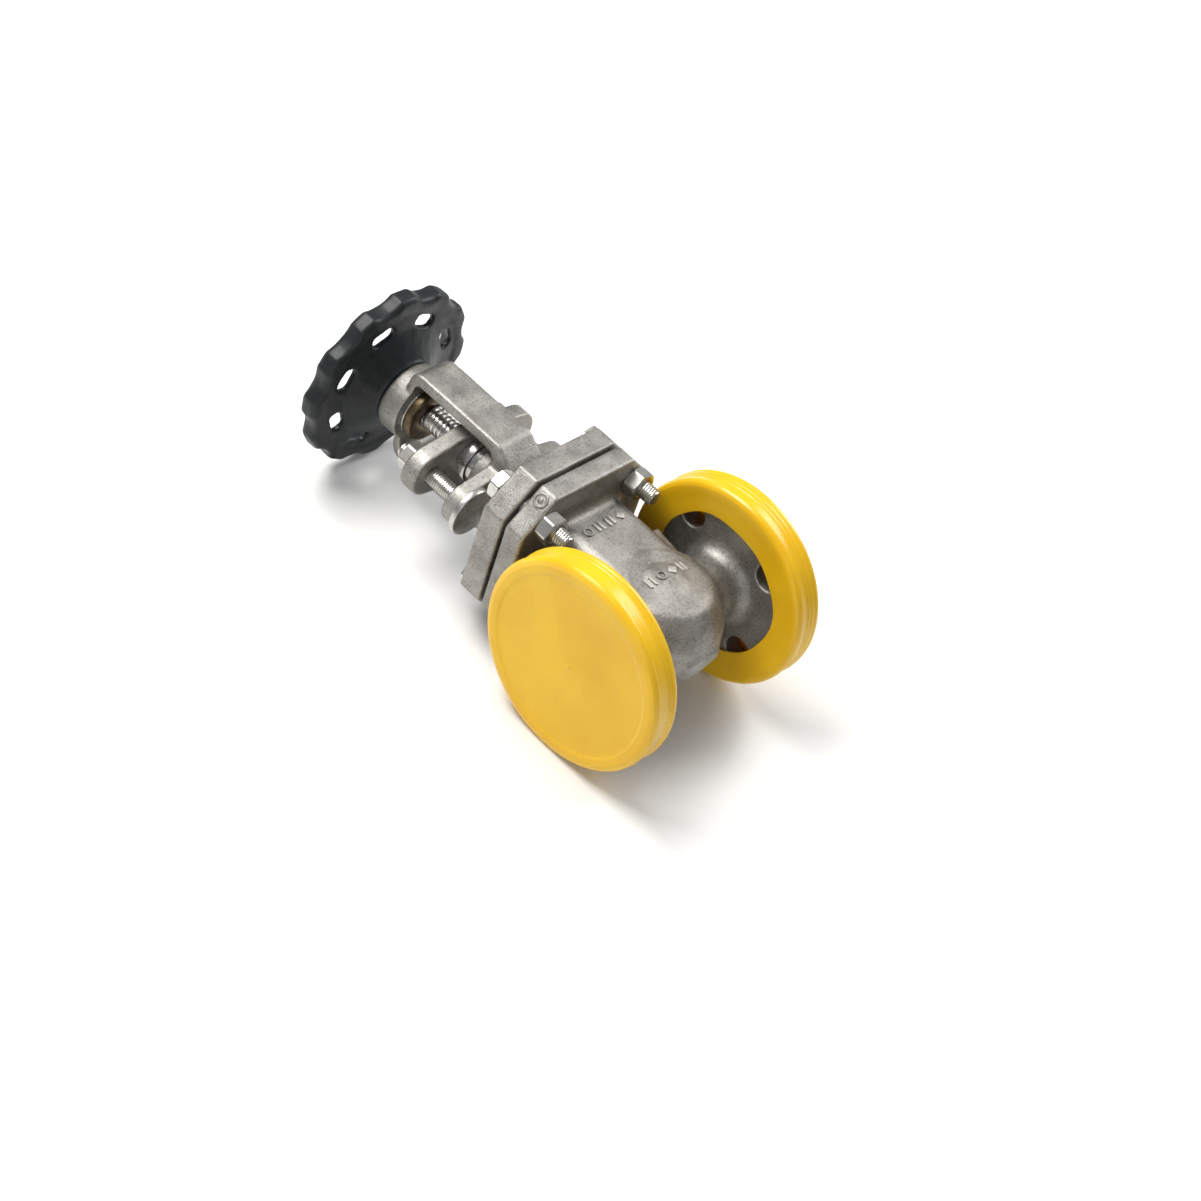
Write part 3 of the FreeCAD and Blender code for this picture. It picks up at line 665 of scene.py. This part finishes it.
# %% Extra lumps for the body
def lump(bm, size, at, lean=0.0):
    """A block that leans, in degrees, towards the inlet or the outlet."""
    made = bmesh.ops.create_cube(bm, size=1.0)["verts"]
    bmesh.ops.scale(bm, verts=made, vec=size)
    bmesh.ops.rotate(bm, verts=made, cent=(0, 0, 0), matrix=Matrix.Rotation(math.radians(lean), 3, "Y"))
    bmesh.ops.translate(bm, verts=made, vec=at)


def side_disc(bm, radius, thick, out):
    """A disc whose faces look sideways from the neck, out millimetres from the stem's axis."""
    made = bmesh.ops.create_cone(bm, cap_ends=True, segments=72, radius1=radius, radius2=radius,
                                 depth=thick)["verts"]
    bmesh.ops.rotate(bm, verts=made, cent=(0, 0, 0), matrix=Matrix.Rotation(math.pi / 2, 3, "X"))
    bmesh.ops.translate(bm, verts=made, vec=(0, out, 0))


def side_dome(bm, radius, reach, foot, side):
    """The slice of an ellipsoid that lies further out than foot, so that it stays clear of the cavity."""
    dome = bmesh.new()
    bmesh.ops.create_uvsphere(dome, u_segments=72, v_segments=36, radius=1.0)
    bmesh.ops.scale(dome, verts=dome.verts, vec=(radius, reach, radius))
    bmesh.ops.bisect_plane(dome, geom=dome.verts[:] + dome.edges[:] + dome.faces[:],
                           plane_co=(0, side * foot, 0), plane_no=(0, side, 0), clear_inner=True)
    bmesh.ops.holes_fill(dome, edges=dome.edges)
    mesh = bpy.data.meshes.new("dome")
    dome.to_mesh(mesh)
    dome.free()
    bm.from_mesh(mesh)


print("blocks, discs and domes are ready")

# %% [markdown]
# ## Where the skin gives way
#
# Two places of the body need more than an even skin. The shoulder between the neck's flat sides and
# the round belly is relaxed until its edge is gone, and the walls of the room that the gate rises
# into step back a little. Each place is a function of a point, upright and in millimetres.


# %% The belly and the gate's way
def round_belly(p):
    """The shoulder between the neck's flat sides and the round belly, and the ridge underneath."""
    outside = math.hypot(p.y, p.z) > 22.5
    shoulder = p.z < 6.0 and abs(p.y) > 9.0 and math.hypot(p.x, p.z) > 13.0
    return outside and abs(p.x) < 30.0 and (shoulder or p.z < -27.0)


def gate_way(p):
    """The room in the neck that the gate rises into."""
    return 8.0 < p.z < 73.0 and abs(p.x) < 23.0 and abs(p.y) < 24.0


# %% Body
neck_half_x, neck_half_y = 26.0, 27.8
dome_radius, dome_reach, dome_foot = 37.0, 30.6, 23.0
lumps = bmesh.new()
for side in (1, -1):
    side_disc(lumps, radius=22.5, thick=2.0, out=side * (neck_half_y - 0.45))
    lump(lumps, (5.0, 4.0, 26.0), (side * (neck_half_x + 0.6), 19.5, 22.0), lean=10 * side)
lump(lumps, (28.0, 6.5, 5.5), (0, 0, -36.6))
for side in (1, -1):
    side_dome(lumps, dome_radius, dome_reach, dome_foot, side)
forged("body", "body_forged", "valve_body", "forged_steel", skin=0.85, relax=7, keep=0.42, ripple=0.16,
       extras=lumps, melt=round_belly, ease=gate_way)

# %% [markdown]
# ## Bonnet and gland flange
#
# The bonnet carries the ears for the gland bolts and the yoke that holds the wheel. Its skin is
# finer than the body's, because the yoke's arms are thin. The gland flange is a small forging of
# its own.

# %% Bonnet and gland flange
forged("bonnet", "bonnet_forged", "valve_body", "forged_steel", skin=0.7, relax=11, keep=0.6, ripple=0.12)
forged("gland_flange", "gland_flange_forged", "gland_set", "forged_steel",
       skin=0.6, relax=5, keep=0.6, ripple=0.10)

# %% [markdown]
# ## Handwheel
#
# The wheel is a casting too. More relaxing gives it the fat, rounded lobes of a cast rim, and its
# windows get soft lips. The same forging tool does it with a longer relax and a deeper ripple.

# %% Handwheel
forged("handwheel", "handwheel_cast", "wheel_set", "wheel_paint", skin=0.7, relax=18, keep=0.6, ripple=0.25)

# %% [markdown]
# ## Raised marks
#
# Forgings carry raised marks for size, rating and flow. Real ones spell out words, which have no
# place here. A ring, pairs of bars and a diamond give the same broken texture without saying
# anything.


# %% Marks on the neck and the plate
def skin_at(x, z):
    """How far the forging's side stands out from the stem's axis."""
    return max(neck_half_y, dome_reach * math.sqrt(max(0.0, 1 - (x * x + z * z) / dome_radius ** 2)))


def bar(bm, x, z, wide, tall, lean=0.0):
    lump(bm, (wide, 1.5, tall), (x, skin_at(x, z) + 0.1, z), lean)


mark_rows, mark_pitch, first_mark = (48.5, 3.6), 8.2, 12.0
ring_section = [(3.3, 0.0), (3.1, 0.9), (2.0, 0.9), (1.7, 0.0)]
pad_section = [(4.4, 0.0), (4.1, 0.9), (3.3, 0.9), (3.1, 0.4), (1.4, 0.4), (1.2, 0.9), (0.3, 0.9)]
pad_at = (33.9, 45.0, 68.5)

# %% Add the marks
marks = bmesh.new()
for row, height in enumerate(mark_rows):
    for number in range(4):
        x = first_mark - mark_pitch * number - 1.5 * row
        if number == row:
            ring = turned(marks, ring_section, 28, tube=True)
            face_out = Matrix.Rotation(-math.pi / 2, 3, "X")
            bmesh.ops.rotate(marks, verts=ring, cent=(0, 0, 0), matrix=face_out)
            bmesh.ops.translate(marks, verts=ring, vec=(x, skin_at(x, height) - 0.05, height))
        elif number == 3 - row:
            bar(marks, x, height, 4.4, 4.4, 45)
        else:
            bar(marks, x + 1.6, height, 1.6, 6.2)
            bar(marks, x - 1.6, height, 1.6, 6.2)
pad = turned(marks, pad_section, 32)
bmesh.ops.rotate(marks, verts=pad, cent=(0, 0, 0), matrix=Matrix.Rotation(math.pi / 2, 3, "Y"))
bmesh.ops.rotate(marks, verts=pad, cent=(0, 0, 0), matrix=Matrix.Rotation(math.pi / 4, 3, "Z"))
bmesh.ops.translate(marks, verts=pad, vec=pad_at)
round_off(marks, 0.25, 50)
add_piece("body_raised_marks", marks, "valve_body", "forged_steel", [])

# %% [markdown]
# ## Caps
#
# Each end flange wears a soft cap. Its section is a face with a slightly raised border, a skirt
# between two beads, and a lip that snaps behind the flange. The lip of a moulded cap is never quite
# round, so its inner edge wavers by up to a millimetre. A small pip in the middle of the face is
# where the plastic was injected.


# %% The two caps
def cap(name, body, side):
    def lip(angle):
        return 41.2 + 0.7 * math.sin(3 * angle + side) + 0.35 * math.sin(7 * angle)

    bm = bmesh.new()
    turned(bm, [
        (0.9, 65.75), (1.3, 65.45), (1.9, 65.3), (50.6, 65.3), (52.2, 65.9), (56.2, 66.0),
        (58.6, 65.3), (59.7, 63.9), (60.0, 62.2), (59.6, 61.2), (59.6, 58.9), (59.2, 58.6), (59.2, 56.4),
        (58.9, 56.1), (58.9, 53.6), (59.3, 53.2), (59.4, 51.6), (60.0, 50.9), (59.8, 49.4), (58.8, 48.0),
        (57.0, 47.3), (54.6, 47.2), (51.5, 47.5), (47.0, 47.75),
        (lip, 47.6), (lambda a: lip(a) - 0.35, 48.2), (lip, 48.95),
        (55.3, 49.0), (55.3, 63.2), (54.6, 63.8), (1.5, 63.8)], 160)
    round_off(bm, 0.45, 14, 3)
    across = Matrix.Rotation(math.radians(90 * side), 4, "Y")
    bmesh.ops.transform(bm, matrix=across, verts=bm.verts)
    return add_piece(name + "_moulded", bm, body, "cap_plastic", [name], crease=50)


cap("inlet_cap", "inlet_cap_body", 1)
cap("outlet_cap", "outlet_cap_body", -1)

# %% [markdown]
# ## Parts that keep their shape
#
# The seats, the gate, the packing, the gasket, the key and the bushing are already what they should
# be. They only need their finish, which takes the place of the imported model's plain material.

# %% Paint the parts that stay
slot_of = {
    "inlet_seat_ring": "seat_steel", "outlet_seat_ring": "seat_steel", "gate": "seat_steel",
    "back_seat_bushing": "seat_steel", "handwheel_key": "stem_steel", "bonnet_gasket": "gasket",
    "packing_ring_1": "graphite", "packing_ring_2": "graphite", "packing_ring_3": "graphite",
    "packing_ring_4": "graphite"}
for node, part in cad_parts.items():
    if not part.hide_render:
        part.data.materials.clear()
        part.data.materials.append(finishes[slot_of[node]])
        print(node, "in", slot_of[node])

# %% [markdown]
# ## Floor, light and camera
#
# A pale floor and large soft lights, as in a small product studio. The key light stands high beyond
# the handwheel, a long one on the far side makes the bright lines on the rims, a weak one fills in
# from the camera's side, and an even grey-white sky does the rest. The camera looks down on the
# valve and is rolled a little, so that the stem runs up and to the left.

# %% Floor
floor_bm = bmesh.new()
bmesh.ops.create_grid(floor_bm, x_segments=1, y_segments=1, size=3.0)
floor_mesh = bpy.data.meshes.new("floor")
floor_bm.to_mesh(floor_mesh)
floor_bm.free()
floor = bpy.data.objects.new("floor", floor_mesh)
bpy.context.scene.collection.objects.link(floor)
paper = Finish("floor_paper", Roughness=0.62, Metallic=0.0)
paper.feed(Base_Color=paper.mix(paper.grain(60.0, 3.0), (0.83, 0.83, 0.82), (0.86, 0.86, 0.85)))
floor_mesh.materials.append(paper.material)
floor.location = (0, 0, -0.0002)


# %% Lights
def soft_light(name, at, aim, size, power, tint=(1.0, 1.0, 1.0)):
    data = bpy.data.lights.new(name, "AREA")
    data.shape = "RECTANGLE"
    data.size, data.size_y = size
    data.energy = power
    data.color = tint
    light = bpy.data.objects.new(name, data)
    light.location = at
    light.rotation_euler = (Vector(aim) - Vector(at)).to_track_quat("-Z", "Y").to_euler()
    bpy.context.scene.collection.objects.link(light)


middle = (cad_box[0] + cad_box[1]) / 2
soft_light("key", (-0.25, 0.60, 1.15), middle, (0.8, 0.6), 22, (1.0, 0.985, 0.96))
soft_light("rim", (0.95, -0.1, 0.75), middle, (0.5, 0.9), 9)
soft_light("fill", (-1.0, -0.7, 0.6), middle, (0.8, 0.8), 3, (0.97, 0.985, 1.0))
world = bpy.data.worlds.new("studio")
world.use_nodes = True
world.node_tree.nodes["Background"].inputs["Color"].default_value = (0.94, 0.96, 1.0, 1.0)
world.node_tree.nodes["Background"].inputs["Strength"].default_value = 0.30
bpy.context.scene.world = world
bpy.context.scene.view_settings.view_transform = "Standard"

# %% Camera
camera_at = Vector((-0.8466, -0.5442, 0.9735))
camera_aim = Vector((0.0034, -0.0458, 0.0380))
camera_roll = math.radians(20.4)
camera_data = bpy.data.cameras.new("camera")
camera_data.sensor_width = 36.0
camera_data.lens = 75.5
camera_data.clip_start = 0.05
camera = bpy.data.objects.new("camera", camera_data)
heading = (camera_aim - camera_at).to_track_quat("-Z", "Y").to_matrix().to_4x4()
camera.matrix_world = Matrix.Translation(camera_at) @ heading @ Matrix.Rotation(camera_roll, 4, "Z")
bpy.context.scene.collection.objects.link(camera)
bpy.context.scene.camera = camera
